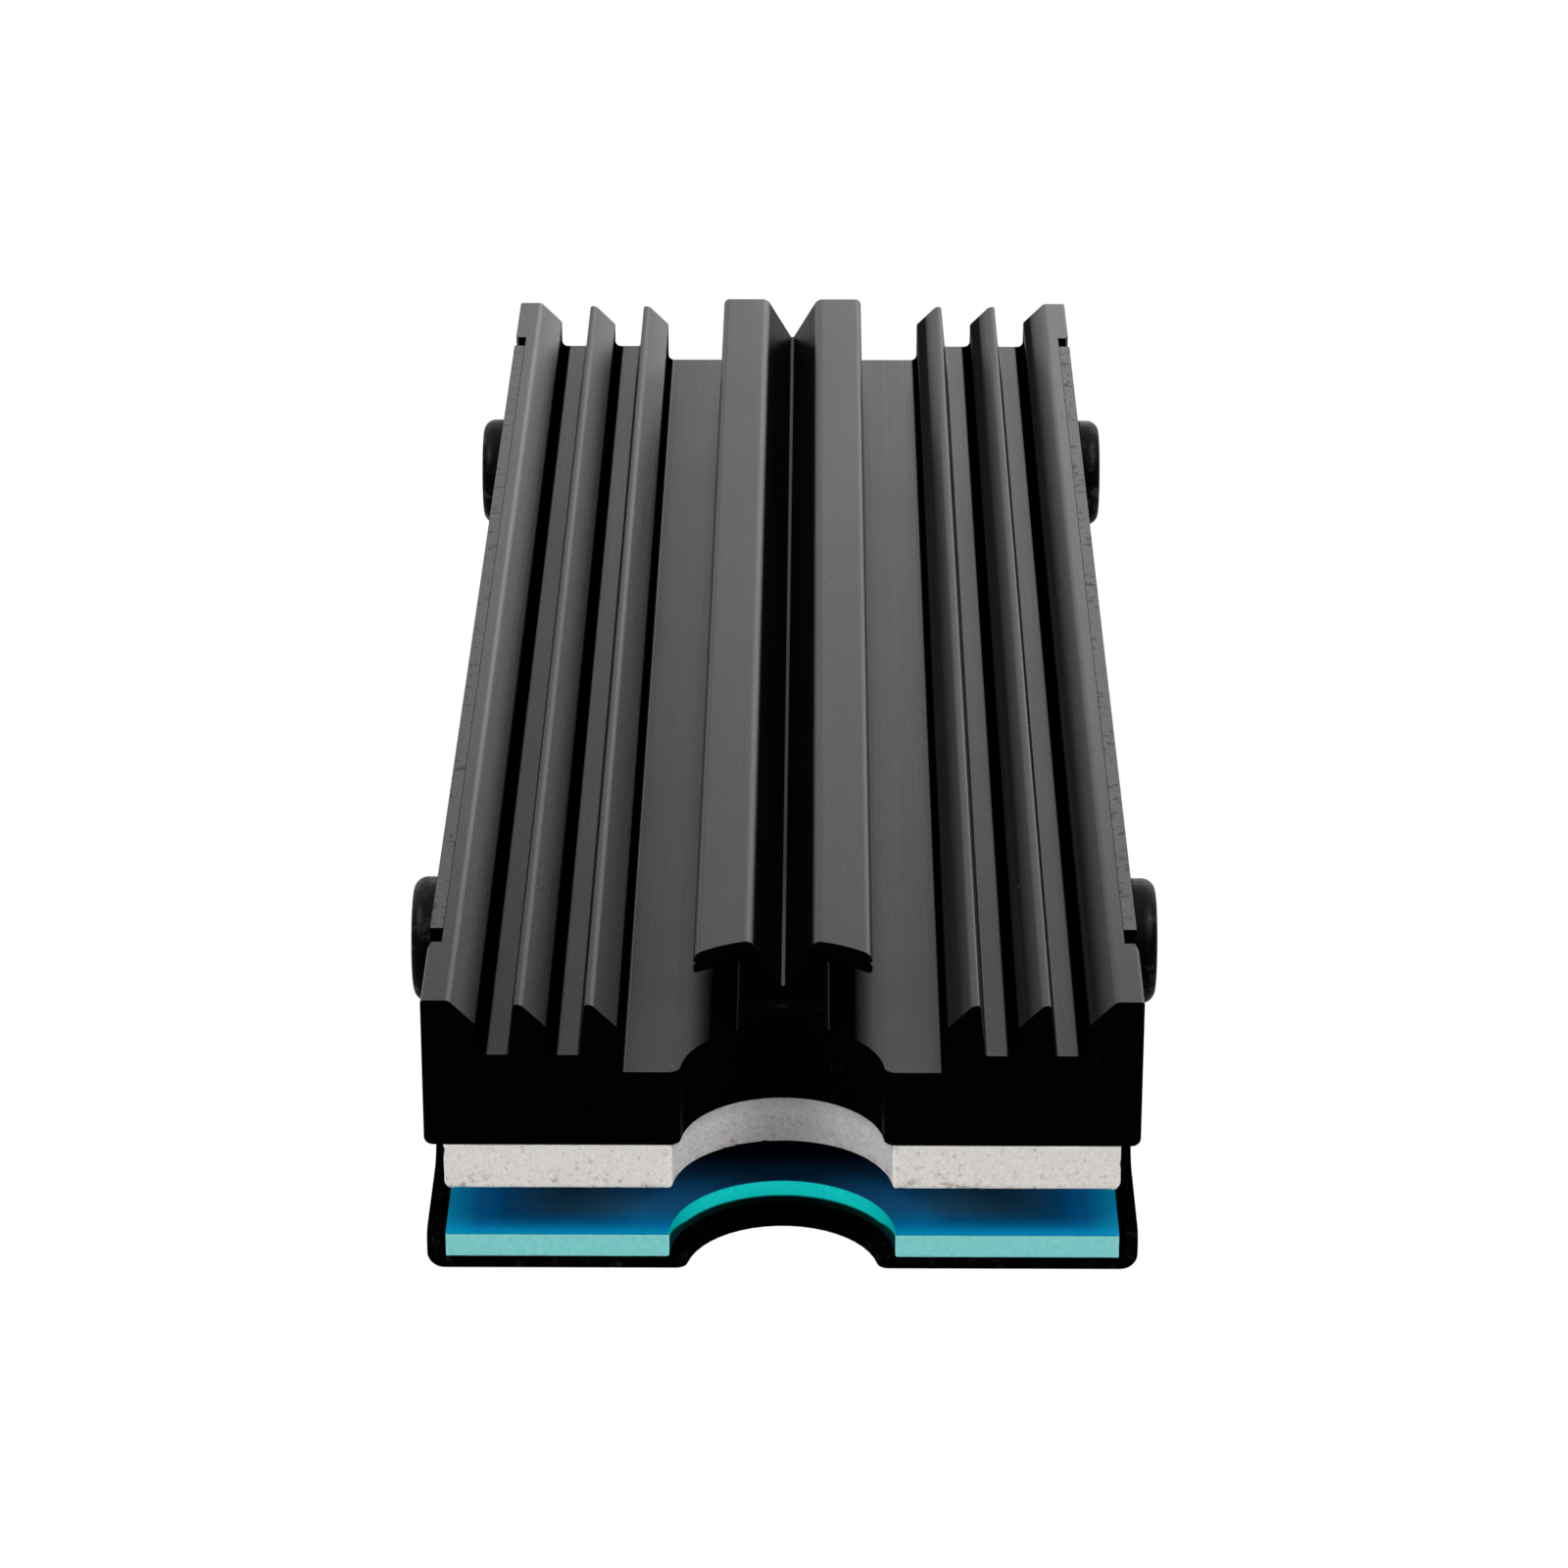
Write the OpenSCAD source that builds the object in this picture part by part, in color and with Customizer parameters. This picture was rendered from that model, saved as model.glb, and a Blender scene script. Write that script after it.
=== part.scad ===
// Double sided heat sink for a slim solid state drive card.
// A finned extrusion lies on the upper thermal pad, and a folded sheet tray
// holds the lower thermal pad. Four screws join tray and extrusion through the sides.
// X is the width, Y runs from the notched front to the rear, and Z is up.
// The origin is at the middle of the tray's underside.

/* [Extrusion] */
// Length from the notched front to the rear
body_l = 70; // [56:1:110]
// Width over the two outer walls
body_w = 24.5; // [23:0.5:34]
// Height of the outer walls above the extrusion's underside
wall_h = 5.5; // [4.8:0.1:9]
// Thickness of each outer wall
wall_t = 1.85; // [1.6:0.05:2.6]
// Width of the flat on top of each outer wall, outside its slope
wall_flat = 0.95; // [0.6:0.05:1.3]
// Thickness of the base under the two wide channels
base_t = 2.8; // [2.4:0.1:3.3]
// Height of the raised floor between the fins
fin_floor_h = 3.45; // [3.3:0.05:3.8]
// Rounding of the two lower edges
base_edge_r = 0.3; // [0.1:0.05:0.5]
// Rounding of the crisp edges on the walls and fins
edge_r = 0.1; // [0.05:0.01:0.12]
// Rounding where the flat of a wall or fin meets its slope
soft_edge_r = 0.3; // [0.1:0.05:0.35]
// Rounding in the corners that face the centre plane, and beside the stem
root_r = 0.25; // [0.05:0.05:0.3]

/* [Fins] */
// Number of slim fins on each side
fin_count = 2; // [1:1:2]
// Height of the fins above the extrusion's underside
fin_h = 5.35; // [4.6:0.05:9]
// Thickness of each fin
fin_t = 1.1; // [0.9:0.05:1.4]
// Gap between one fin and the next
fin_gap = 1.3; // [0.9:0.05:1.5]
// Width of the flat on top of each fin, outside its slope
fin_flat = 0.25; // [0.25:0.01:0.6]
// Extra thickness of each fin at its root, where its outer face leans out
fin_flare = 0.19; // [0.05:0.01:0.3]

/* [Centre rail] */
// Height of the rail's two heads above the extrusion's underside
rail_h = 5.7; // [5.2:0.1:9]
// Width over the two heads
rail_w = 6.15; // [5:0.05:7]
// Thickness of each head
rail_head_t = 0.75; // [0.5:0.05:1]
// Rounding of the outer upper edge of each head
rail_round_r = 0.25; // [0.05:0.01:0.25]
// Rounding of the outer lower edge of each head
rail_edge_r = 0.18; // [0.05:0.01:0.2]
// Height of the fine line in each head's edge above the head's underside
rail_line_h = 0.41; // [0.36:0.01:0.42]
// Depth of the fine line, which is half its width
rail_line_d = 0.08; // [0.04:0.01:0.08]
// Width of the stem under the heads
stem_w = 2.95; // [2.6:0.05:3.6]
// Width of the groove between the two heads
groove_w = 2.25; // [1.4:0.05:2.4]
// Height of the groove's bottom above the extrusion's underside
groove_root_h = 3.9; // [3.8:0.1:4.6]
// Width of the flat at the groove's bottom
groove_root_w = 0.12; // [0.05:0.01:0.3]
// Rounding of the two edges at the groove's mouth
groove_edge_r = 0.4; // [0.05:0.05:0.5]

/* [Front notch] */
// Radius of the notch through the extrusion's base
notch_r = 3.5; // [2.5:0.1:4]
// Radius of the wider seat above the notch
seat_r = 4.4; // [4.1:0.1:5]
// Size of the slope on the seat's inner edge
seat_chamfer = 0.15; // [0.05:0.05:0.3]
// Rounding of the corners where each notch meets the front
mouth_r = 0.4; // [0.1:0.05:0.6]

/* [Side recesses] */
// Length of full width wall left at each end of a recess
land_l = 4.5; // [3:0.1:6]
// Length of the small slope at the end of each land
land_chamfer_l = 0.5; // [0.1:0.05:1]
// Depth of the small slope at the end of each land
land_chamfer_d = 0.12; // [0.05:0.01:0.2]

/* [Bottom tray] */
// Thickness of the sheet
sheet_t = 0.45; // [0.3:0.05:0.7]
// Outer radius of the two bends
bend_r = 0.6; // [0.4:0.05:1]
// Clearance between each tray wall and its recess
tray_fit = 0.02; // [0.01:0.01:0.2]
// Distance from each land to the end of the tray wall
wall_end_gap = 1.1; // [0.3:0.1:2]
// Height of the low lip at each end of the tray
lip_h = 1.4; // [1:0.1:2]
// Rounding between the lip and the wall end
lip_fillet_r = 1; // [0.3:0.1:1.2]
// Rounding of the lip's free corner
lip_corner_r = 0.4; // [0.1:0.05:0.6]
// Radius of the notch in the tray floor
tray_notch_r = 3.35; // [2.5:0.05:4]

/* [Thermal pads] */
// Thickness of the pad under the extrusion
upper_pad_t = 1.7; // [0.5:0.1:3]
// Thickness of the pad on the tray floor
lower_pad_t = 0.85; // [0.5:0.05:3]
// Thickness of the film on the lower pad
film_t = 0.05; // [0.02:0.01:0.1]
// Space left for the card between the pads
card_space = 1.75; // [1.5:0.05:4]
// Clearance from a pad's side to the tray wall
pad_side_gap = 0.2; // [0.1:0.05:0.6]
// Radius of the notch in the upper pad
upper_pad_notch_r = 3.8; // [2.5:0.05:4.5]
// Radius of the notch in the lower pad
lower_pad_notch_r = 3.9; // [2.5:0.05:4.5]
// Distance that the tray and upper pad notches are centred ahead of the front
notch_lead = 0.35; // [0:0.05:0.5]

/* [Screws] */
// Distance of each screw from its end of the extrusion
screw_inset = 11.9; // [9:0.1:16]
// Height of the screws above the extrusion's underside
screw_h = 2; // [1.6:0.05:2.1]
// Diameter of the shank
screw_d = 2; // [1.4:0.1:2]
// Length of the shank under the head
screw_l = 3.5; // [2:0.1:5]
// Size of the slope round the shank's tip
tip_bevel = 0.25; // [0.1:0.05:0.4]
// Diameter of the head
head_d = 4.5; // [3.2:0.1:5]
// Thickness of the head
head_t = 1.05; // [0.8:0.05:1.4]
// Rounding of the head's outer rim
head_edge_r = 0.5; // [0.1:0.05:0.5]
// Rounding of the head's inner rim
head_seat_r = 0.25; // [0.05:0.05:0.3]
// Length of each arm of the cross in the head
cross_l = 2.2; // [1.2:0.1:2.4]
// Width of each arm of the cross
cross_w = 0.45; // [0.3:0.05:0.6]
// Depth of the cross
cross_d = 0.6; // [0.3:0.05:0.7]
// Radial clearance around the shank in the tapped hole
tap_gap = 0.04; // [0.02:0.01:0.1]
// Radial clearance around the shank in the tray wall
tray_hole_gap = 0.15; // [0.05:0.05:0.4]
// Depth of the tapped hole beyond the screw's tip
tap_run_out = 0.4; // [0.2:0.1:1]

/* [Hidden] */
$fn = 64;
over = 1;                                        // how far a cut runs past the face it opens
half_w = body_w / 2;
front_y = -body_l / 2;
lower_pad_z = sheet_t;
film_z = lower_pad_z + lower_pad_t;
upper_pad_z = film_z + film_t + card_space;
body_z = upper_pad_z + upper_pad_t;
tray_half_w = half_w;                            // the tray walls lie flush in the recesses
tray_inner_x = tray_half_w - sheet_t;
recess_x = tray_inner_x - tray_fit;
recess_l = body_l - 2 * land_l;
tray_h = body_z + wall_h;                        // tray walls end level with the outer walls
pad_w = 2 * (tray_inner_x - pad_side_gap);
stem_half_w = stem_w / 2;
rail_half_w = rail_w / 2;
fin_outer_x = half_w - wall_t - fin_gap;         // outer face of the outermost fin
fin_pitch = fin_t + fin_gap;
rail_head_z = rail_h - rail_head_t;
rail_line_z = rail_head_z + rail_line_h;
rail_top_r = min(rail_round_r, rail_h - rail_line_z - rail_line_d);   // ends above the fine line
arc_steps = 5;                                   // straight steps in each rounded corner
screw_y = body_l / 2 - screw_inset;
screw_z = body_z + screw_h;
tap_r = screw_d / 2 + tap_gap;
tap_l = screw_l + tap_run_out;
tray_hole_r = screw_d / 2 + tray_hole_gap;

// Extrudes an XZ outline along Y, centred on the origin
module along_y(length) {
    rotate([90, 0, 0]) linear_extrude(length, center = true) children();
}

// Draws the children on both sides of the centre plane
module both_sides() {
    children();
    mirror([1, 0]) children();
}

// What lies between a round of radius r and the square corner at the origin.
// It is cut from an outer corner, or left standing to fill an inner one.
module corner_piece(r) {
    difference() {
        translate([-over, -over]) square(r + over);
        translate([r, r]) circle(r);
    }
}

// The vector v at length 1
function unit(v) = v / norm(v);

// Points of the arc of radius r that rounds corner b, between its neighbours a and c
function round_corner(a, b, c, r) =
    let (p = unit(a - b), q = unit(c - b),
         half = acos(p * q) / 2,
         centre = b + unit(p + q) * r / sin(half),
         first = b + p * r / tan(half) - centre,
         start = atan2(first[1], first[0]),
         sweep = sign(cross(b - a, c - b)) * (180 - 2 * half))
    [for (i = [0 : arc_steps]) let (angle = start + sweep * i / arc_steps)
        centre + r * [cos(angle), sin(angle)]];

// The place of corner i in a closed list, without its rounding
function place(corners, i) = let (c = corners[i % len(corners)]) [c[0], c[1]];

// Points of a closed outline from its corners, each [x, z, rounding]
function rounded_outline(corners) = [
    for (i = [0 : len(corners) - 1]) let (r = corners[i][2])
        each r == 0 ? [place(corners, i)]
            : round_corner(place(corners, i + len(corners) - 1), place(corners, i),
                           place(corners, i + 1), r)];

// Corners of the right outer wall, from its lower edge over its top to its root
function wall_corners() = [
    [half_w, 0, base_edge_r],
    [half_w, wall_h, edge_r],
    [half_w - wall_flat, wall_h, soft_edge_r],
    [half_w - wall_t, wall_h - wall_t + wall_flat, edge_r],
    [half_w - wall_t, fin_floor_h, root_r]];

// Corners of a fin with its outer face at x, between its outer root and its inner root
function fin_corners(x, inner_floor_h) = [
    [x + fin_flare, fin_floor_h, edge_r],
    [x, fin_h, edge_r],
    [x - fin_flat, fin_h, soft_edge_r],
    [x - fin_t, fin_h - fin_t + fin_flat, edge_r],
    [x - fin_t, inner_floor_h, root_r]];

// Corners of the right half of the centre rail: stem, head, fine line and groove
function rail_corners() = [
    [stem_half_w, base_t, root_r],
    [stem_half_w, rail_head_z, 0],
    [rail_half_w, rail_head_z, rail_edge_r],
    [rail_half_w, rail_line_z - rail_line_d, 0],
    [rail_half_w - rail_line_d, rail_line_z, 0],
    [rail_half_w, rail_line_z + rail_line_d, 0],
    [rail_half_w, rail_h, rail_top_r],
    [groove_w / 2, rail_h, groove_edge_r],
    [groove_root_w / 2, groove_root_h, 0]];

// The extrusion's outline, drawn as its right half and the mirror image of it
module extrusion_profile() {
    half = [each wall_corners(),
            for (i = [0 : fin_count - 1])
                each fin_corners(fin_outer_x - i * fin_pitch, i < fin_count - 1 ? fin_floor_h : base_t),
            each rail_corners()];
    mirrored = [for (i = [len(half) - 1 : -1 : 0]) [-half[i][0], half[i][1], half[i][2]]];
    polygon(rounded_outline(concat(half, mirrored)));
}

// Plan of a round notch in the front end, with rounded corners at its mouth.
// The front face is at y = 0, and the notch is centred a lead ahead of it.
module notch_plan(r, lead) {
    mouth_x = sqrt(pow(r + mouth_r, 2) - pow(mouth_r + lead, 2));
    translate([0, -lead]) circle(r);
    difference() {
        polygon([[-mouth_x, -lead - over], [mouth_x, -lead - over], [mouth_x, mouth_r],
                 [0, -lead], [-mouth_x, mouth_r]]);
        both_sides() translate([mouth_x, mouth_r]) circle(mouth_r);
    }
}

// A notch cut upward from height z, through a height of h
module front_notch(r, lead, z, h) {
    translate([0, front_y, z]) linear_extrude(h) notch_plan(r, lead);
}

// Plan of the recess in the right flank, with the sloped ends of its lands
module recess_plan() {
    slope_end = recess_l / 2 + land_chamfer_l;
    translate([recess_x, -recess_l / 2]) square([half_w + over - recess_x, recess_l]);
    polygon([[half_w - land_chamfer_d, -recess_l / 2], [half_w, -slope_end],
             [half_w + over, -slope_end], [half_w + over, slope_end],
             [half_w, slope_end], [half_w - land_chamfer_d, recess_l / 2]]);
}

// Places the children at each of the four screw positions, with local Z pointing out of the flank
module at_screw(side, end) {
    translate([side * half_w, end * screw_y, screw_z]) rotate([0, side * 90, 0]) children();
}

module at_every_screw() {
    for (side = [-1, 1], end = [-1, 1]) at_screw(side, end) children();
}

// The finned extrusion
module heat_sink() {
    color("#2b2c2f") difference() {
        translate([0, 0, body_z]) along_y(body_l) extrusion_profile();
        front_notch(notch_r, 0, body_z - over, fin_floor_h + over);
        translate([0, front_y, body_z + fin_floor_h]) cylinder(rail_h, r = seat_r);
        translate([0, front_y, body_z + fin_floor_h - seat_chamfer])
            cylinder(2 * seat_chamfer, notch_r, notch_r + 2 * seat_chamfer);
        translate([0, 0, body_z - over]) linear_extrude(wall_h + 2 * over) both_sides() recess_plan();
        at_every_screw() translate([0, 0, -tap_l]) cylinder(tap_l + over, r = tap_r);
    }
}

// U outline of the folded tray, with its two bends rounded outside and inside
module tray_profile() {
    difference() {
        translate([-tray_half_w, 0]) square([2 * tray_half_w, tray_h]);
        translate([-tray_inner_x, sheet_t]) square([2 * tray_inner_x, tray_h]);
        both_sides() translate([-tray_half_w, 0]) corner_piece(bend_r);
    }
    both_sides() translate([-tray_inner_x, sheet_t]) intersection() {
        corner_piece(bend_r - sheet_t);
        translate([-sheet_t / 2, -sheet_t / 2]) square(bend_r);
    }
}

// Side view of what is cut from both walls at the front end of the tray
module lip_relief() {
    depth = land_l + wall_end_gap;
    difference() {
        translate([-over, lip_h]) square([depth + over, tray_h]);
        translate([depth, lip_h]) mirror([1, 0]) corner_piece(lip_fillet_r);
    }
    translate([0, lip_h]) mirror([0, 1]) corner_piece(lip_corner_r);
}

// The folded sheet tray that closes the underside
module bottom_tray() {
    color("#1c1c1e") difference() {
        along_y(body_l) tray_profile();
        front_notch(tray_notch_r, notch_lead, -over, lip_h + over);
        for (end = [-1, 1]) scale([1, end, 1])
            translate([-half_w - over, front_y, 0]) rotate([90, 0, 90])
                linear_extrude(body_w + 2 * over) lip_relief();
        at_every_screw() translate([0, 0, -sheet_t - over])
            cylinder(sheet_t + 2 * over, r = tray_hole_r);
    }
}

// A soft pad cut from sheet, with its notch at the front
module notched_pad(z, thickness, notch, lead) {
    difference() {
        translate([-pad_w / 2, front_y, z]) cube([pad_w, body_l, thickness]);
        front_notch(notch, lead, z - over, thickness + 2 * over);
    }
}

// The thick pad between the extrusion and the card
module upper_thermal_pad() {
    color("#dcd8d5") notched_pad(upper_pad_z, upper_pad_t, upper_pad_notch_r, notch_lead);
}

// The thin pad between the card and the tray
module lower_thermal_pad() {
    color("#7fd0c4") notched_pad(lower_pad_z, lower_pad_t, lower_pad_notch_r, 0);
}

// The coloured film on the lower pad
module lower_pad_film() {
    color("#0a64a8") notched_pad(film_z, film_t, lower_pad_notch_r, 0);
}

// Half outline of a screw from its tip to its head, turned about the Y axis
module screw_profile() {
    shank_top = head_t / 2;                      // the shank runs on into the head
    polygon([[0, -screw_l], [screw_d / 2 - tip_bevel, -screw_l], [screw_d / 2, -screw_l + tip_bevel],
             [screw_d / 2, shank_top], [0, shank_top]]);
    difference() {
        square([head_d / 2, head_t]);
        translate([head_d / 2, head_t]) rotate(180) corner_piece(head_edge_r);
        translate([head_d / 2, 0]) mirror([1, 0]) corner_piece(head_seat_r);
    }
}

// A low round headed screw with a cross in its head, seated on the tray wall
module screw(side, end) {
    color("#26272a") at_screw(side, end) difference() {
        rotate_extrude() screw_profile();
        for (turn = [45, 135]) rotate(turn)
            translate([-cross_l / 2, -cross_w / 2, head_t - cross_d])
                cube([cross_l, cross_w, cross_d + over]);
    }
}

heat_sink();
bottom_tray();
upper_thermal_pad();
lower_thermal_pad();
lower_pad_film();
screw(-1, -1);  // front_left_screw
screw(1, -1);  // front_right_screw
screw(-1, 1);  // rear_left_screw
screw(1, 1);  // rear_right_screw
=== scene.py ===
import math

import bmesh
import bpy
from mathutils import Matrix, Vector, noise


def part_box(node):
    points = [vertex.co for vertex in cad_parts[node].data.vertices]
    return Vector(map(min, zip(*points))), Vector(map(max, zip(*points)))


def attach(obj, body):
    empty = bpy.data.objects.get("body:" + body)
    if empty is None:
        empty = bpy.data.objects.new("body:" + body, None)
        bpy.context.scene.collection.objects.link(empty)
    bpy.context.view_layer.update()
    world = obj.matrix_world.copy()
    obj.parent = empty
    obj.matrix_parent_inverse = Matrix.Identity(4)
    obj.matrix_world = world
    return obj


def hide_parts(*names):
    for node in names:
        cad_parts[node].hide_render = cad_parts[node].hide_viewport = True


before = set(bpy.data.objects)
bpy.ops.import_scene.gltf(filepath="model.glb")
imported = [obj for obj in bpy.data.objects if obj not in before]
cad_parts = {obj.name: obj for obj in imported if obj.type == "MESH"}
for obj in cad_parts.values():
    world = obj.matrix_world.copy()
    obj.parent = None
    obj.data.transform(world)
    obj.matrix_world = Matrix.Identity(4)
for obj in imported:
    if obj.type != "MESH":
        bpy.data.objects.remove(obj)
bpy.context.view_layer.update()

MM = 0.001

# The camera, from the photograph's own perspective
CAMERA_AIM = Vector((-0.14, -3.5, 4.03)) * MM
CAMERA_DISTANCE = 221.9 * MM
CAMERA_PITCH = math.radians(24.47)
CAMERA_YAW = math.radians(-0.363)
CAMERA_LENS = 129.6
SENSOR_WIDTH = 36.0

# Heights on the object: the top of the fin roots, the slopes of fins and walls, the floor of the
# wide channels, the ledge of the notch, the tray's lips, and its walls' sheared top edge
BODY_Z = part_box("heat_sink")[0][2]
ROOT_Z = BODY_Z + 3.72 * MM
SLOPE_LOW_Z = BODY_Z + 4.5 * MM
SLOPE_HIGH_Z = BODY_Z + 5.4 * MM
CHANNEL_Z = BODY_Z + 2.8 * MM
LEDGE_Z = BODY_Z + 3.45 * MM
LIP_Z = 1.5 * MM
SHEARED_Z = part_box("bottom_tray")[1][2] - 0.04 * MM

# Distances from the centre plane: the inner faces of the walls and fins with the widths of the
# strips of painted shade beside them, the outer walls' tops, and the rail's stem, groove and heads
INNER_FACES = (10.4 * MM, 8.0 * MM, 5.6 * MM)
SHADE_WIDTHS = (0.36 * MM, 0.36 * MM, 0.2 * MM)
WALL_TOP_X = 11.2 * MM
STEM_X = 1.48 * MM
GROOVE_LINE_X = 0.1 * MM
HEAD_X = 3.08 * MM

# Specular level of the anodised finish, the colours of the black finish with its dust and scuffs, and a near black
# that is painted shade on the sawn ends, the milled notch, the inward faces and the tray's inner faces
FINISH_LEVEL = 0.2
EXTRUSION_DARK = (0.005, 0.0052, 0.0058)
EXTRUSION_PALE = (0.015, 0.0156, 0.017)
SHADE_BLACK = (0.0006, 0.0006, 0.0008)
DUST = (0.12, 0.115, 0.11)
CUT_DUST = (0.005, 0.005, 0.006)
SCUFF = (0.009, 0.009, 0.0088)

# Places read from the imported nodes
PAD_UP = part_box("upper_thermal_pad")
PAD_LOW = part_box("lower_thermal_pad")
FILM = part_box("lower_pad_film")
FRONT_Y = PAD_UP[0][1]
REAR_Y = PAD_UP[1][1]

# Notch radius of each pad
UPPER_NOTCH_R = 3.8 * MM
LOWER_NOTCH_R = 3.9 * MM

# The two pads and the film: the notch and how far ahead of the front it is centred, the rounding
# of the notch's mouth, of the front lower edge and of the side lower edges, and the unevenness
WHITE_PAD = {"box": PAD_UP, "notch_r": UPPER_NOTCH_R, "lead": 0.35 * MM, "mouth_r": 0.16 * MM,
             "edge_r": 0.1 * MM, "side_r": 0.3 * MM, "wave": 0.02 * MM, "pit": 0.1 * MM, "seed": 1}
MINT_PAD = {"box": PAD_LOW, "notch_r": LOWER_NOTCH_R, "lead": 0.0, "mouth_r": 0.09 * MM,
            "edge_r": 0.02 * MM, "side_r": 0.04 * MM, "wave": 0.004 * MM, "pit": 0.012 * MM, "seed": 2}
BLUE_FILM = {"box": FILM, "notch_r": LOWER_NOTCH_R, "lead": 0.0, "mouth_r": 0.03 * MM}
OUTLINE_STEP = 0.13 * MM


class Shader:
    """A procedural material built from a few named nodes."""

    def __init__(self, name):
        self.material = bpy.data.materials.new(name)
        self.material.use_nodes = True
        self.tree = self.material.node_tree
        self.surface = self.tree.nodes["Principled BSDF"]
        self.output = self.tree.nodes["Material Output"]

    def node(self, kind, **settings):
        """Adds a node and sets its properties."""
        made = self.tree.nodes.new("ShaderNode" + kind)
        for key, value in settings.items():
            setattr(made, key, value)
        return made

    def link(self, source, target):
        self.tree.links.new(source, target)

    def set(self, **sockets):
        """Sets plain values on the surface shader, with underscores for spaces."""
        for key, value in sockets.items():
            self.surface.inputs[key.replace("_", " ")].default_value = value

    def place(self, scale):
        """Object coordinates stretched by a scale for each axis, in cells per metre."""
        coords = self.node("TexCoord")
        mapping = self.node("Mapping")
        mapping.inputs["Scale"].default_value = scale
        self.link(coords.outputs["Object"], mapping.inputs["Vector"])
        return mapping.outputs["Vector"]

    def noise(self, scale, detail=2.0, roughness=0.5):
        """A noise from 0 to 1 at the given cells per metre along each axis."""
        made = self.node("TexNoise")
        made.inputs["Scale"].default_value = 1.0
        made.inputs["Detail"].default_value = detail
        made.inputs["Roughness"].default_value = roughness
        self.link(self.place(scale), made.inputs["Vector"])
        return made.outputs["Fac"]

    def span(self, value, low, high, to_low=0.0, to_high=1.0):
        """Maps a value from one range to another, held at both ends."""
        made = self.node("MapRange")
        made.inputs["From Min"].default_value = low
        made.inputs["From Max"].default_value = high
        made.inputs["To Min"].default_value = to_low
        made.inputs["To Max"].default_value = to_high
        self.link(value, made.inputs["Value"])
        return made.outputs["Result"]

    def math(self, operation, first, second):
        """A sum of two values, where each is a socket or a number."""
        made = self.node("Math", operation=operation)
        for socket, value in zip(made.inputs, (first, second)):
            if isinstance(value, (int, float)):
                socket.default_value = value
            else:
                self.link(value, socket)
        return made.outputs["Value"]

    def mix_colour(self, factor, first, second):
        """A mix of two colours, where each is a socket or a colour."""
        made = self.node("Mix", data_type="RGBA")
        self.link(factor, made.inputs["Factor"])
        for socket, value in ((made.inputs[6], first), (made.inputs[7], second)):
            if isinstance(value, tuple):
                socket.default_value = (*value, 1.0)
            else:
                self.link(value, socket)
        return made.outputs[2]

    def part(self, source, axis):
        """One axis of the object coordinates or of the face's normal."""
        coords = self.node("TexCoord")
        split = self.node("SeparateXYZ")
        self.link(coords.outputs[source], split.inputs["Vector"])
        return split.outputs[axis]

    def cut_face(self):
        """1 on the sawn ends and in the milled notch, and 0 on faces that run along Y."""
        return self.span(self.math("ABSOLUTE", self.part("Normal", "Y"), 0.0), 0.12, 0.3)

    def steep_face(self):
        """1 on the upright sides of fins and walls, in their roots and in the centre groove."""
        across = self.math("ABSOLUTE", self.part("Normal", "X"), 0.0)
        upright = self.span(across, 0.74, 0.86)
        low = self.span(self.part("Object", "Z"), ROOT_Z + 0.05 * MM, ROOT_Z)
        in_root = self.math("MULTIPLY", low, self.span(across, 0.2, 0.6))
        return self.math("MAXIMUM", upright, in_root)

    def outward_face(self):
        """1 where a face looks away from the centre plane."""
        product = self.math("MULTIPLY", self.part("Normal", "X"), self.part("Object", "X"))
        return self.math("GREATER_THAN", product, 0.0)

    def shaded_floor(self):
        """Painted-shade mask: 1 on the strips of floor beside the fins' inner faces and under the rail's heads."""
        height = self.part("Object", "Z")
        across = self.math("ABSOLUTE", self.part("Object", "X"), 0.0)
        total = 0.0
        for face, width in zip(INNER_FACES, SHADE_WIDTHS):
            rising = self.span(across, face - width - 0.05 * MM, face - width + 0.02 * MM)
            strip = self.math("MULTIPLY", rising, self.math("LESS_THAN", across, face + 0.02 * MM))
            total = self.math("ADD", strip, total)
        under_rail = self.span(across, HEAD_X + 0.1 * MM, HEAD_X - 0.6 * MM)
        low = self.math("LESS_THAN", height, SLOPE_LOW_Z - 0.1 * MM)
        lowest = self.math("LESS_THAN", height, CHANNEL_Z + 0.9 * MM)
        beside_fins = self.math("MULTIPLY", total, low)
        return self.math("MAXIMUM", beside_fins, self.math("MULTIPLY", under_rail, lowest))

    def slope_gain(self):
        """Painted reflection on the slopes: gloss lifted low down on those that face right and taken away on those
        that face left, with a painted highlight where the flat tops round over into the slopes.
        """
        lean = self.part("Normal", "X")
        height = self.span(self.part("Object", "Z"), SLOPE_LOW_Z, SLOPE_HIGH_Z)
        facing_right = self.span(lean, 0.3, 0.6)
        facing_left = self.span(lean, -0.3, -0.6)
        lifted = self.math("MULTIPLY", facing_right, self.span(height, 0.0, 0.9, 1.1, 0.0))
        lost = self.math("MULTIPLY", facing_left, self.span(height, 0.42, 1.0, 1.0, 0.1))
        across = self.math("ABSOLUTE", lean, 0.0)
        # Painted highlight along the rounded edge between flat and slope.
        ridge = self.math("MULTIPLY", self.span(across, 0.08, 0.25), self.span(across, 0.66, 0.45, 0.0, 0.7))
        return self.math("SUBTRACT", self.math("ADD", self.math("ADD", lifted, ridge), 1.0), lost)

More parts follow.
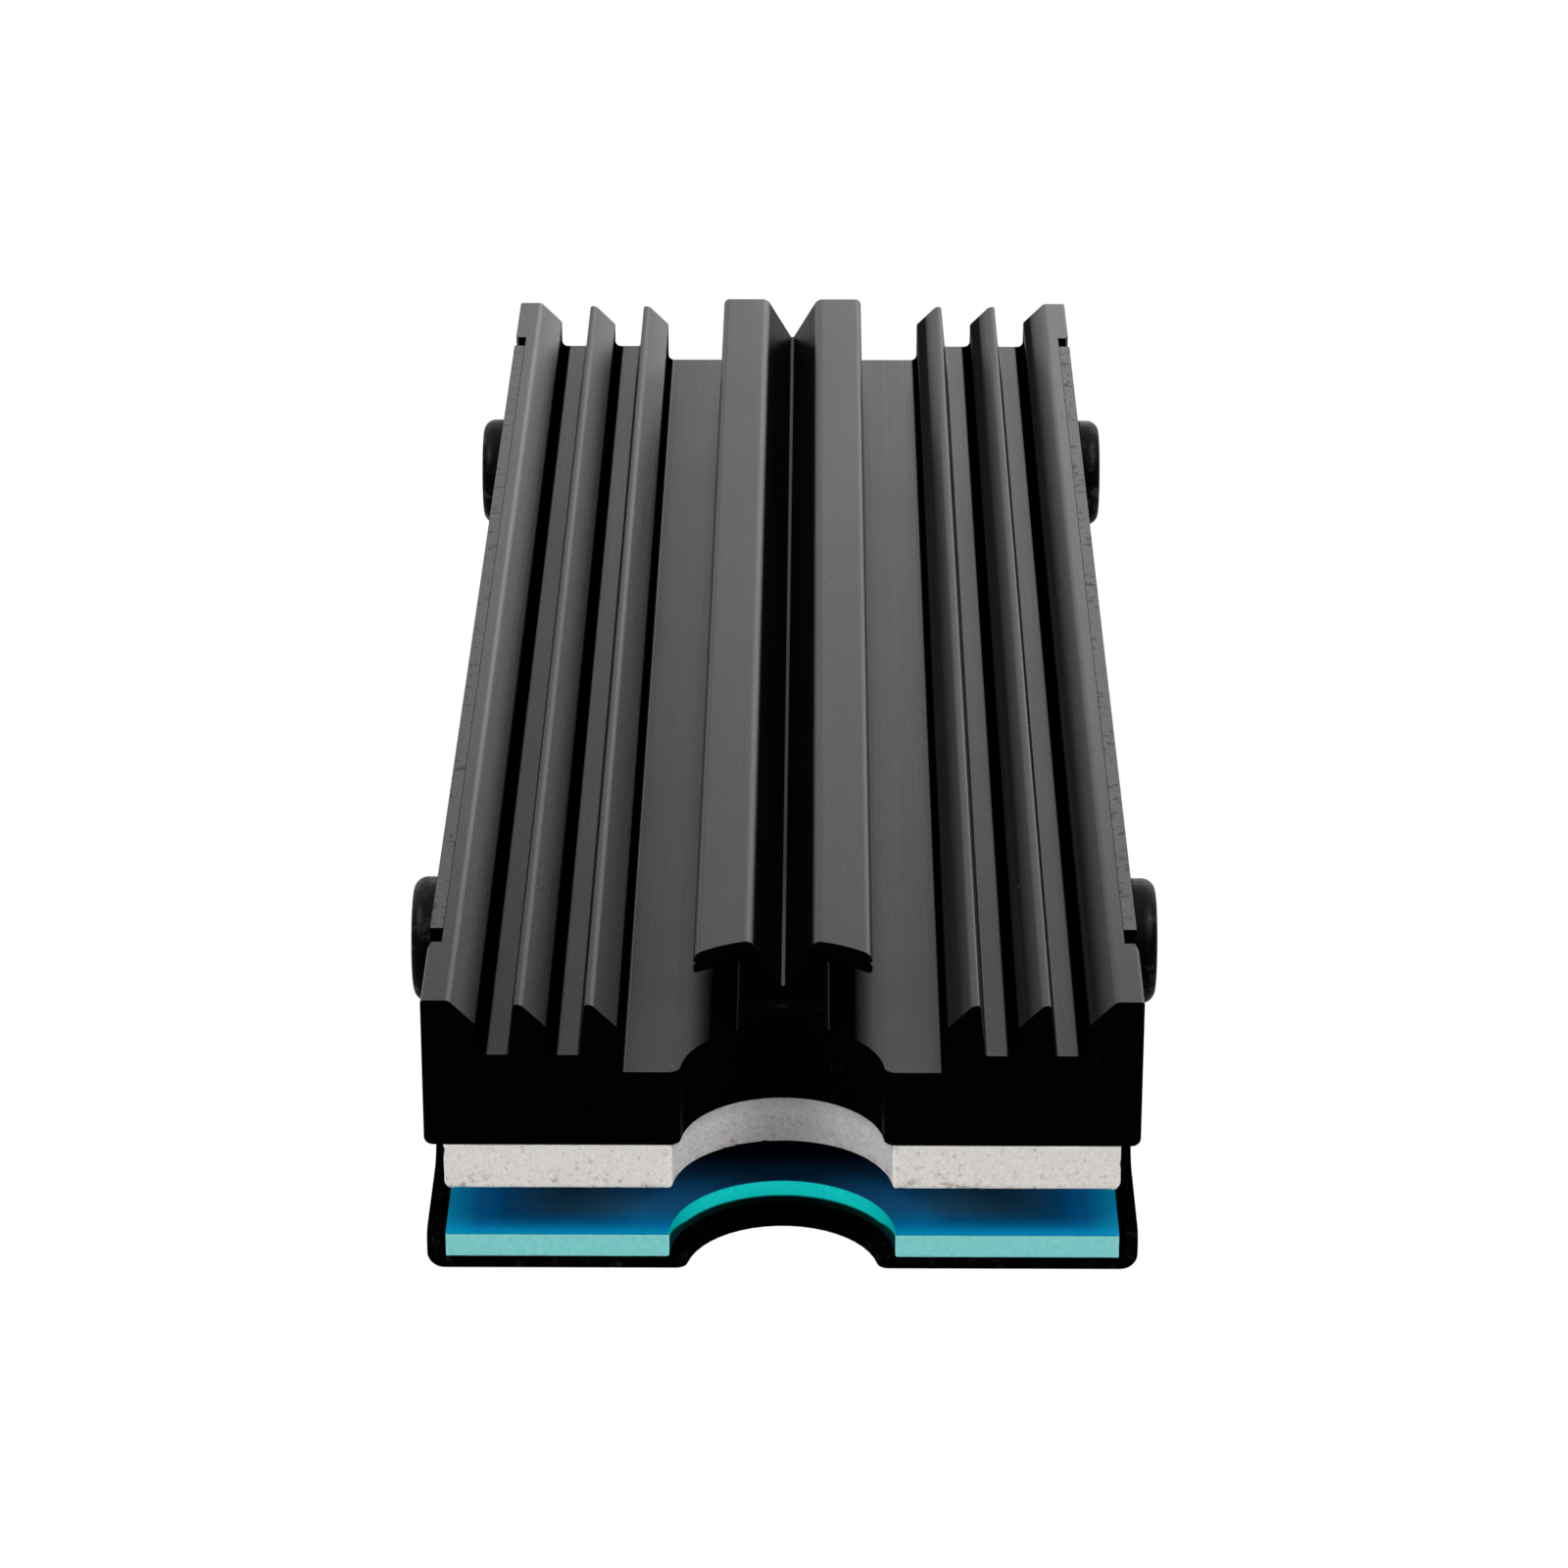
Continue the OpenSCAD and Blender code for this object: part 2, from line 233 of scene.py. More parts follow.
    def in_notch(self, reach):
        """1 behind the front face within a radius of the notch's middle, and 0 elsewhere."""
        behind = self.math("SUBTRACT", self.part("Object", "Y"), FRONT_Y)
        across = self.part("Object", "X")
        squares = self.math("ADD", self.math("MULTIPLY", across, across), self.math("MULTIPLY", behind, behind))
        within = self.math("LESS_THAN", self.math("SQRT", squares, 0.0), reach)
        return self.math("MULTIPLY", within, self.span(behind, 0.04 * MM, 0.3 * MM))

    def blend_value(self, share, first, second):
        """A fixed share of the second value with the rest of the first."""
        part_one = self.math("MULTIPLY", first, 1.0 - share)
        return self.math("ADD", part_one, self.math("MULTIPLY", second, share))

    def mix_value(self, factor, first, second):
        """A mix of two values, where each is a socket or a number."""
        made = self.node("Mix", data_type="FLOAT")
        self.link(factor, made.inputs["Factor"])
        for socket, value in ((made.inputs[2], first), (made.inputs[3], second)):
            if isinstance(value, (int, float)):
                socket.default_value = value
            else:
                self.link(value, socket)
        return made.outputs[0]

    def drive(self, socket, value):
        """Links a value or colour to one socket of the surface shader."""
        self.link(value, self.surface.inputs[socket])

    def bump(self, height, distance, strength=1.0, below=None):
        """A bump from a height, laid over another bump if one is given."""
        made = self.node("Bump")
        made.inputs["Strength"].default_value = strength
        made.inputs["Distance"].default_value = distance
        self.link(height, made.inputs["Height"])
        if below is not None:
            self.link(below, made.inputs["Normal"])
        return made.outputs["Normal"]


def anodised_extrusion():
    """Black anodised extrusion with die lines along Y and dust, and painted shade: near black and matt without gloss
    on the sawn ends and notch, and near black with little gloss on the inward upright faces and the floor strips
    beside fins and rail.
    """
    shader = Shader("black_anodised_extrusion")
    shader.set(IOR=1.38)
    cut = shader.cut_face()
    steep = shader.steep_face()
    fine = shader.noise((14000.0, 30.0, 14000.0), detail=3.0, roughness=0.6)
    broad = shader.noise((2600.0, 9.0, 2600.0), detail=2.0)
    cloud = shader.noise((240.0, 70.0, 240.0), detail=3.0)
    grain = shader.noise((15000.0, 15000.0, 15000.0), detail=2.0, roughness=0.75)
    lines = shader.blend_value(0.4, fine, broad)
    mottle = shader.blend_value(0.5, lines, grain)
    tone = shader.mix_colour(shader.span(mottle, 0.38, 0.62), EXTRUSION_DARK, EXTRUSION_PALE)
    dusty = shader.mix_colour(shader.math("MULTIPLY", speckle(shader, 2400.0, 0.16, 0.035), 0.5), tone, DUST)
    # Painted shade: near black, with dust dots on the sawn ends, for the sawn ends and notch, the inward upright faces
    # and the shaded floor strips
    dusty_shade = shader.mix_colour(shader.math("MULTIPLY", speckle(shader, 3000.0, 0.2, 0.02), cut), SHADE_BLACK, CUT_DUST)
    inner_steep = shader.math("MULTIPLY", steep, shader.math("SUBTRACT", 1.0, shader.outward_face()))
    # Mask of the painted shade: sawn ends and notch, inward upright faces, and floor strips beside the fins and under
    # the rail's heads
    dark = shader.math("MAXIMUM", cut, shader.math("MAXIMUM", inner_steep, shader.shaded_floor()))
    shader.drive("Base Color", shader.mix_colour(dark, dusty, dusty_shade))
    brushed = shader.math("ADD", shader.span(lines, 0.3, 0.7, 0.27, 0.34), shader.span(cloud, 0.3, 0.7, -0.02, 0.02))
    along = shader.math("ADD", brushed, shader.span(grain, 0.3, 0.7, -0.035, 0.035))
    shader.drive("Roughness", shader.mix_value(cut, along, 0.6))
    # The sawn ends and notch lose all gloss as painted shade; finish_level paints reflections over the rest.
    shader.drive("Specular IOR Level", shader.mix_value(cut, finish_level(shader, steep), 0.0))
    relief = shader.bump(grain, 0.008 * MM)
    shader.drive("Normal", shader.bump(lines, 0.0035 * MM, below=relief))
    return shader.material


def finish_level(shader, steep):
    """Specular level over the extrusion, with painted reflection and shade: wall tops glossier towards the rear, less
    gloss on the left half and along the groove further back, the slopes from slope_gain, almost none on inward upright
    faces and their roots, and none on the shaded floor strips but for painted highlight lines on the notch's ledge and
    beside the stem.
    """
    across = shader.math("ABSOLUTE", shader.part("Object", "X"), 0.0)
    from_front = shader.math("SUBTRACT", shader.part("Object", "Y"), FRONT_Y)
    # Painted reflection: the wall tops grow glossier towards the rear, the left half loses gloss, and the groove loses
    # more further back.
    on_wall = shader.math("MULTIPLY", shader.span(across, WALL_TOP_X - 0.1 * MM, WALL_TOP_X + 0.1 * MM),
                          shader.span(from_front, 4.0 * MM, 30.0 * MM, 0.0, 0.75))
    inside = shader.math("LESS_THAN", across, INNER_FACES[0])
    tilt = shader.math("MULTIPLY", inside, shader.span(shader.part("Object", "X"), -9.0 * MM, 3.0 * MM, -0.26, 0.0))
    in_groove = shader.math("LESS_THAN", across, GROOVE_LINE_X)
    groove_loss = shader.math("MULTIPLY", in_groove, shader.span(from_front, 3.0 * MM, 14.0 * MM, -0.2, -0.72))
    place_gain = shader.math("ADD", shader.math("ADD", shader.math("ADD", on_wall, tilt), groove_loss), 1.0)
    gain = shader.math("MULTIPLY", shader.slope_gain(), place_gain)
    open_level = shader.math("MULTIPLY", gain, FINISH_LEVEL)
    # Painted shade: inward upright faces keep almost no gloss.
    steep_level = shader.mix_value(shader.outward_face(), 0.01, 0.1)
    level = shader.mix_value(steep, open_level, steep_level)
    # Painted highlights: a line on the notch's ledge and one beside the stem, within the painted-shade floor strips,
    # which otherwise lose their gloss.
    on_ledge = shader.math("LESS_THAN", across, STEM_X)
    ledge_height = shader.span(shader.part("Object", "Z"), LEDGE_Z - 0.06 * MM, LEDGE_Z - 0.03 * MM)
    ledge_level = shader.math("MULTIPLY", shader.math("MULTIPLY", on_ledge, ledge_height), 0.16)
    stem_line = shader.math("MULTIPLY", shader.math("GREATER_THAN", across, STEM_X),
                            shader.math("LESS_THAN", across, STEM_X + 0.12 * MM))
    shade_level = shader.math("ADD", ledge_level, shader.math("MULTIPLY", stem_line, 0.07))
    return shader.mix_value(shader.shaded_floor(), level, shade_level)


def anodised_sheet():
    """Black sheet with a fine grain, dust flecks and a rough sheared edge on top of its walls; its ends, lips and
    inner faces carry painted shade, near black and matt with scuffs and no gloss, and its walls' gloss is less low
    down and fades at grazing angles, also as painted shade.
    """
    shader = Shader("black_anodised_sheet")
    shader.set(IOR=1.38)
    cut = shader.cut_face()
    height = shader.part("Object", "Z")
    sheared = shader.span(height, SHEARED_Z, SHEARED_Z + 0.02 * MM)
    raised = shader.span(height, LIP_Z, LIP_Z + 0.5 * MM)
    grain = shader.noise((6500.0, 6500.0, 6500.0), detail=4.0, roughness=0.65)
    plain = shader.mix_colour(shader.span(grain, 0.35, 0.7), (0.003, 0.003, 0.0033), (0.008, 0.008, 0.0084))
    flecks = speckle(shader, 2600.0, 0.22, 0.06)
    tone = shader.mix_colour(shader.math("MULTIPLY", flecks, 0.6), plain, (0.03, 0.03, 0.029))
    upright = shader.span(shader.math("ABSOLUTE", shader.part("Normal", "X"), 0.0), 0.2, 0.5)
    outer = shader.math("MULTIPLY", upright, shader.outward_face())
    below = shader.span(shader.part("Normal", "Z"), -0.3, -0.6)
    open_side = shader.math("MAXIMUM", shader.math("MAXIMUM", outer, sheared), below)
    # Painted-shade mask: the ends and every face but the outer walls, the sheared top and the underside.
    tray_shade = shader.math("MAXIMUM", cut, shader.math("SUBTRACT", 1.0, open_side))
    scuffs = shader.span(shader.noise((1900.0, 1900.0, 1900.0), detail=5.0, roughness=0.75), 0.56, 0.7)
    # Painted shade: near black with scuffs on the masked faces.
    inside = shader.mix_colour(scuffs, SHADE_BLACK, SCUFF)
    shader.drive("Base Color", shader.mix_colour(tray_shade, tone, inside))
    shader.drive("Roughness", shader.mix_value(tray_shade, shader.span(grain, 0.3, 0.7, 0.3, 0.46), 0.8))
    # Painted shade in the gloss: it fades at grazing angles and is lower below the lips' height; the sheared top keeps
    # chips of gloss, and the masked faces get none.
    glance = shader.node("LayerWeight")
    faced = shader.span(glance.outputs["Facing"], 0.75, 0.35)
    wall_level = shader.math("MULTIPLY", shader.mix_value(raised, 0.03, 0.12), faced)
    chips = shader.span(shader.noise((2400.0, 2400.0, 2400.0), detail=3.0, roughness=0.7), 0.56, 0.64, 0.55, 0.12)
    level = shader.mix_value(sheared, wall_level, chips)
    shader.drive("Specular IOR Level", shader.mix_value(tray_shade, level, 0.0))
    shader.drive("Normal", shader.bump(grain, 0.012 * MM))
    return shader.material


def speckle(shader, cells, reach, amount):
    """Scattered small dots: 1 inside a dot and 0 elsewhere."""
    dots = shader.node("TexVoronoi", feature="F1")
    dots.inputs["Scale"].default_value = 1.0
    dots.inputs["Randomness"].default_value = 1.0
    shader.link(shader.place((cells, cells, cells)), dots.inputs["Vector"])
    near = shader.span(dots.outputs["Distance"], reach, reach * 0.55)
    split = shader.node("SeparateColor")
    shader.link(dots.outputs["Color"], split.inputs["Color"])
    chosen = shader.math("LESS_THAN", split.outputs[0], amount)
    return shader.math("MULTIPLY", near, chosen)


def white_pad_material():
    """Off white filled silicone: fine grain, grey specks, brown dust low down, and painted shade in its notch: grey,
    most towards the notch's sides, and near black at the top as a painted shadow under the extrusion.
    """
    shader = Shader("white_silicone_pad")
    shader.set(Subsurface_Weight=0.1, Subsurface_Scale=0.25 * MM, Roughness=0.8)
    shader.surface.inputs["Subsurface Radius"].default_value = (1.0, 0.8, 0.7)
    height = shader.part("Object", "Z")
    low_z, high_z = PAD_UP[0][2], PAD_UP[1][2]
    grain = shader.noise((7000.0, 7000.0, 7000.0), detail=3.0, roughness=0.7)
    base = shader.mix_colour(shader.span(grain, 0.3, 0.7), (0.53, 0.51, 0.48), (0.67, 0.65, 0.615))
    # Painted shade for the notch's wall, with a painted shadow near its top.
    grey = shader.mix_colour(shader.span(grain, 0.3, 0.7), (0.27, 0.26, 0.265), (0.43, 0.41, 0.42))
    contact = shader.span(height, high_z - 0.5 * MM, high_z - 0.02 * MM, 0.0, 0.65)
    deep_grey = shader.mix_colour(contact, grey, (0.09, 0.085, 0.09))
    side = shader.span(shader.math("ABSOLUTE", shader.part("Object", "X"), 0.0), 1.5 * MM, 3.9 * MM, 0.65, 1.0)
    in_shade = shader.math("MULTIPLY", shader.in_notch(UPPER_NOTCH_R + 0.3 * MM), side)
    shaded = shader.mix_colour(in_shade, base, deep_grey)
    fine = shader.span(shader.noise((4200.0, 4200.0, 4200.0), detail=1.0), 0.635, 0.71, 0.0, 0.45)
    dotted = shader.mix_colour(fine, shaded, (0.25, 0.235, 0.23))
    low = shader.span(height, low_z + 0.8 * MM, low_z + 0.12 * MM)
    dust = shader.noise((2300.0, 2300.0, 2300.0), detail=4.0, roughness=0.75)
    brown = shader.math("MULTIPLY", shader.span(dust, 0.56, 0.63), low)
    shader.drive("Base Color", shader.mix_colour(shader.math("MULTIPLY", brown, 0.7), dotted, (0.23, 0.18, 0.15)))
    relief = shader.math("SUBTRACT", grain, shader.math("MULTIPLY", brown, 0.8))
    shader.drive("Normal", shader.bump(relief, 0.016 * MM))
    return shader.material


def mint_pad_material():
    """Mint filled silicone with painted light and shade: pale on its straight cut faces; inside the notch a deep teal
    of near full strength with a painted glow, less strong towards the notch's sides, near black on a low band that
    rises towards the mouth, and without gloss.
    """
    shader = Shader("mint_silicone_pad")
    shader.set(Subsurface_Weight=0.15, Subsurface_Scale=0.3 * MM, Roughness=0.55)
    shader.surface.inputs["Subsurface Radius"].default_value = (0.3, 1.0, 0.9)
    grain = shader.noise((5200.0, 5200.0, 5200.0), detail=4.0, roughness=0.65)
    pale = shader.mix_colour(shader.span(grain, 0.3, 0.7), (0.14, 0.48, 0.47), (0.2, 0.555, 0.545))
    # Painted light: the notch's teal is near full strength; towards the sides and below the rising line it is painted
    # shade.
    teal = shader.mix_colour(shader.span(grain, 0.3, 0.7), (0.005, 0.74, 0.7), (0.03, 0.88, 0.84))
    in_notch = shader.in_notch(LOWER_NOTCH_R + 0.3 * MM)
    behind = shader.math("SUBTRACT", shader.part("Object", "Y"), FRONT_Y)
    rise = shader.span(behind, 0.1 * MM, 2.0 * MM, PAD_LOW[0][2] + 0.7 * MM, PAD_LOW[0][2] + 0.3 * MM)
    above = shader.math("SUBTRACT", shader.part("Object", "Z"), rise)
    lit = shader.span(above, -0.05 * MM, 0.03 * MM)
    sideways = shader.span(shader.math("ABSOLUTE", shader.part("Object", "X"), 0.0), 0.8 * MM, 3.7 * MM)
    wall = shader.mix_colour(sideways, teal, (0.0, 0.24, 0.235))
    arc = shader.mix_colour(lit, (0.0, 0.02, 0.019), wall)
    shader.drive("Base Color", shader.mix_colour(in_notch, pale, arc))
    # Painted shade: no gloss in the notch. Painted light: a teal glow on the notch's wall, stronger deeper in.
    shader.drive("Specular IOR Level", shader.mix_value(in_notch, 0.25, 0.0))
    shader.surface.inputs["Emission Color"].default_value = (0.005, 1.0, 0.95, 1.0)
    glow = shader.math("MULTIPLY", shader.span(behind, 0.3 * MM, 3.6 * MM, 0.02, 0.27), lit)
    shader.drive("Emission Strength", shader.math("MULTIPLY", in_notch, glow))
    shader.drive("Normal", shader.bump(grain, 0.012 * MM))
    return shader.material


def film_material():
    """Deep blue film with painted light and shade: lighter cyan along its cut edges and at its ends, deeper blue in
    the middle and just inside the ends, a painted greyer reflection further in towards the sides, and near black under
    the pads.
    """
    shader = Shader("blue_film")
    shader.set(Roughness=0.45, IOR=1.45, Specular_IOR_Level=0.03)
    grain = shader.noise((5200.0, 5200.0, 5200.0), detail=3.0, roughness=0.65)
    light = shader.span(grain, 0.3, 0.7)
    across = shader.math("ABSOLUTE", shader.part("Object", "X"), 0.0)
    along = shader.part("Object", "Y")
    behind = shader.math("MINIMUM", shader.math("SUBTRACT", along, FRONT_Y), shader.math("SUBTRACT", REAR_Y, along))
    # Painted light and shade: the lighter edges and ends, the grey reflection, the deeper middle and ends, and the
    # near black under the pads are how light falls on one blue.
    edge = shader.mix_colour(light, (0.0, 0.15, 0.3), (0.0, 0.175, 0.335))
    middle = shader.mix_colour(light, (0.0005, 0.09, 0.23), (0.001, 0.11, 0.265))
    inner = shader.mix_colour(light, (0.03, 0.15, 0.29), (0.046, 0.175, 0.33))
    plain = shader.mix_colour(light, (0.006, 0.08, 0.2), (0.01, 0.095, 0.23))
    ends = shader.mix_colour(light, (0.0005, 0.06, 0.17), (0.001, 0.075, 0.2))
    from_edge = shader.mix_colour(shader.span(behind, 0.05 * MM, 0.7 * MM), edge, middle)
    greyed = shader.mix_colour(shader.span(across, 4.6 * MM, 6.4 * MM), plain, inner)
    deep = shader.mix_colour(shader.span(behind, 1.0 * MM, 1.9 * MM), from_edge, greyed)
    outward = shader.math("MULTIPLY", shader.span(across, 7.5 * MM, 9.6 * MM), shader.span(behind, 0.3 * MM, 1.2 * MM))
    sided = shader.mix_colour(outward, deep, ends)
    rim = shader.span(across, FILM[1][0] - 1.1 * MM, FILM[1][0] - 0.05 * MM, 0.0, 0.8)
    visible = shader.mix_colour(rim, sided, (0.0, 0.2, 0.36))
    covered = shader.span(behind, 4.8 * MM, 5.7 * MM)
    shader.drive("Base Color", shader.mix_colour(covered, visible, (0.001, 0.006, 0.03)))
    shader.drive("Normal", shader.bump(grain, 0.006 * MM))
    return shader.material


def screw_material():
    """Blackened steel: nearly black with small worn patches, and a painted sheen on its upward faces."""
    shader = Shader("black_screw_steel")
    shader.set(IOR=1.4)
    turning = shader.noise((3500.0, 3500.0, 3500.0), detail=3.0)
    patches = shader.span(shader.noise((1500.0, 1500.0, 1500.0), detail=4.0, roughness=0.7), 0.56, 0.68)
    upward = shader.span(shader.part("Normal", "Z"), 0.35, 0.9)
    shader.drive("Base Color", shader.mix_colour(patches, (0.001, 0.001, 0.0012), (0.012, 0.012, 0.012)))
    # Painted highlight: more gloss on upward faces; the worn patches add a little.
    level = shader.math("ADD", shader.math("MULTIPLY", upward, 0.13), shader.math("MULTIPLY", patches, 0.07))
    shader.drive("Specular IOR Level", shader.math("ADD", level, 0.012))
    shader.drive("Roughness", shader.span(turning, 0.3, 0.7, 0.36, 0.5))
    shader.drive("Normal", shader.bump(turning, 0.008 * MM))
    return shader.material


def dress_node(name, material):
    """Gives every material slot of a CAD node one material."""
    node_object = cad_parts[name]
    if not node_object.material_slots:
        node_object.data.materials.append(material)
    for material_slot in node_object.material_slots:
        material_slot.material = material


def notch_outline(shape):
    """Points round a pad, anticlockwise from above, with its notch at the front."""
    low, high = shape["box"]
    left, right = low[0], high[0]
    front, rear = low[1], high[1]
    radius, lead, mouth_r = shape["notch_r"], shape["lead"], shape["mouth_r"]
    mouth_x = math.sqrt((radius + mouth_r) ** 2 - (mouth_r + lead) ** 2)
    centre = Vector((0.0, front - lead))
    round_centre = Vector((mouth_x, front + mouth_r))
    lean = math.atan2(round_centre.y - centre.y, round_centre.x - centre.x)
    corners = [Vector((mouth_x, front)), Vector((right, front)), Vector((right, rear)),
               Vector((left, rear)), Vector((left, front)), Vector((-mouth_x, front))]
    points = []
    for start, end in zip(corners, corners[1:]):
        along_side = abs(start.x - end.x) < OUTLINE_STEP
        step = OUTLINE_STEP * (12.0 if along_side else 1.0)
        count = max(1, round((end - start).length / step))
        points += [start.lerp(end, i / count) for i in range(count)]
    mouth = arc_points(round_centre, mouth_r, -math.pi / 2, lean - math.pi)
    notch = arc_points(centre, radius, math.pi - lean, lean)
    points += [Vector((-p.x, p.y)) for p in mouth]
    points += notch[1:]
    points += list(reversed(mouth))[1:-1]
    return points


def arc_points(centre, radius, start, end):
    """Points along an arc from one angle to another."""
    count = max(3, round(abs(end - start) * radius / OUTLINE_STEP))
    angles = [start + (end - start) * i / count for i in range(count + 1)]
    return [centre + radius * Vector((math.cos(a), math.sin(a))) for a in angles]


def inward_normals(points):
    """Unit normals that point into an anticlockwise outline."""
    normals = []
    for i, point in enumerate(points):
        tangent = points[(i + 1) % len(points)] - points[i - 1]
        normals.append(Vector((-tangent.y, tangent.x)).normalized())
    return normals


def wall_rings(low_z, high_z, edge_r):
    """Rings down a pad's wall to its rounded lower edge, each an inset and a height."""
    lip = 0.015 * MM
    steps = 14
    top = high_z - lip
    bottom = low_z + edge_r
    rings = [(lip, high_z), (0.0, top)]
    rings += [(0.0, top + (bottom - top) * i / steps) for i in range(1, steps + 1)]
    turns = [math.pi / 8 * i for i in range(1, 5)]
    rings += [(edge_r * (1 - math.cos(a)), bottom - edge_r * math.sin(a)) for a in turns]
    return rings


def unevenness(place, shape):
    """How far a point of a cut wall lies inside the outline: gentle waves and small pits."""
    shift = Vector((7.1, 3.7, 5.3)) * shape["seed"]
    wave = noise.noise(place / (1.4 * MM) + shift) + 0.5 * noise.noise(place / (0.5 * MM) + shift)
    pit = max(0.0, noise.noise(place / (0.28 * MM) - shift) - 0.42) * 2.0
    return shape["wave"] * (0.75 + 0.5 * wave) + shape["pit"] * pit


def soft_pad(name, shape):
    """A soft sheet of silicone with a wavy cut wall and rounded lower edges."""
    points = notch_outline(shape)
    normals = inward_normals(points)
    low_z, high_z = shape["box"][0][2], shape["box"][1][2]
    front_rings = wall_rings(low_z, high_z, shape["edge_r"])
    side_rings = wall_rings(low_z, high_z, shape["side_r"])
    mesh = bmesh.new()
    loops = []
    for front_ring, side_ring in zip(front_rings, side_rings):
        loop = []
        for point, normal in zip(points, normals):
            inset, z = side_ring if abs(normal.x) > 0.6 and abs(point.x) > shape["notch_r"] * 2 else front_ring
            depth = inset + unevenness(Vector((point.x, point.y, z)), shape)
            loop.append(mesh.verts.new((point.x + normal.x * depth, point.y + normal.y * depth, z)))
        loops.append(loop)
    return finish_sheet(name, mesh, loops)


def thin_sheet(name, shape):
    """A film with square edges."""
    points = notch_outline(shape)
    mesh = bmesh.new()
    loops = [[mesh.verts.new((point.x, point.y, z)) for point in points]
             for z in (shape["box"][1][2], shape["box"][0][2])]
    return finish_sheet(name, mesh, loops)


def finish_sheet(name, mesh, loops):
    """Joins the loops of a sheet's wall, closes its top and bottom and makes the object."""
    for upper, lower in zip(loops, loops[1:]):
        for i in range(len(upper)):
            j = (i + 1) % len(upper)
            mesh.faces.new((upper[i], lower[i], lower[j], upper[j]))
    mesh.faces.new(loops[0])
    mesh.faces.new(list(reversed(loops[-1])))
    bmesh.ops.recalc_face_normals(mesh, faces=mesh.faces)
    data = bpy.data.meshes.new(name)
    mesh.to_mesh(data)
    mesh.free()
    for polygon in data.polygons:
        polygon.use_smooth = len(polygon.vertices) == 4
    piece = bpy.data.objects.new(name, data)
    bpy.context.collection.objects.link(piece)
    return piece


def place_piece(piece, material, node_name):
    """Dresses a piece and lets it stand for its CAD node."""
    piece.data.materials.append(material)
    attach(piece, "root")
    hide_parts(node_name)


def add_pads():
    """The two soft pads and the film, in place of their plain solids."""
    white = soft_pad("white_pad", WHITE_PAD)
    mint = soft_pad("mint_pad", MINT_PAD)
    film = thin_sheet("film_sheet", BLUE_FILM)
    place_piece(white, white_pad_material(), "upper_thermal_pad")
    place_piece(mint, mint_pad_material(), "lower_thermal_pad")
    place_piece(film, film_material(), "lower_pad_film")


def add_floor():
    """A plain pale floor that keeps the object's shadow and is clear from below."""
    bpy.ops.mesh.primitive_plane_add(size=6.0, location=(0.0, 0.0, -0.01 * MM))
    floor = bpy.context.object
    floor.name = "floor"
    shader = Shader("pale_floor")
    shader.set(Roughness=1.0, Specular_IOR_Level=0.0)
    shader.surface.inputs["Base Color"].default_value = (0.75, 0.75, 0.75, 1.0)
    glow = shader.node("Emission")
    glow.inputs["Color"].default_value = (1.0, 1.0, 1.0, 1.0)
    glow.inputs["Strength"].default_value = 1.015
    seen = seen_directly(shader)
    blend = shader.node("MixShader")
    shader.link(shader.math("MULTIPLY", seen, 0.975), blend.inputs["Fac"])
    shader.link(shader.surface.outputs["BSDF"], blend.inputs[1])
    shader.link(glow.outputs["Emission"], blend.inputs[2])
    side = shader.node("NewGeometry")
    clear = shader.node("BsdfTransparent")
    open_below = shader.node("MixShader")
    shader.link(side.outputs["Backfacing"], open_below.inputs["Fac"])
    shader.link(blend.outputs["Shader"], open_below.inputs[1])
    shader.link(clear.outputs["BSDF"], open_below.inputs[2])
    shader.link(open_below.outputs["Shader"], shader.output.inputs["Surface"])
    floor.data.materials.append(shader.material)


def seen_directly(shader):
    """1 for rays from the camera, and for what gloss and glass show."""
    path = shader.node("LightPath")
    mirror = shader.math("ADD", path.outputs["Is Camera Ray"], path.outputs["Is Glossy Ray"])
    seen = shader.math("ADD", mirror, path.outputs["Is Transmission Ray"])
    return shader.math("MINIMUM", seen, 1.0)


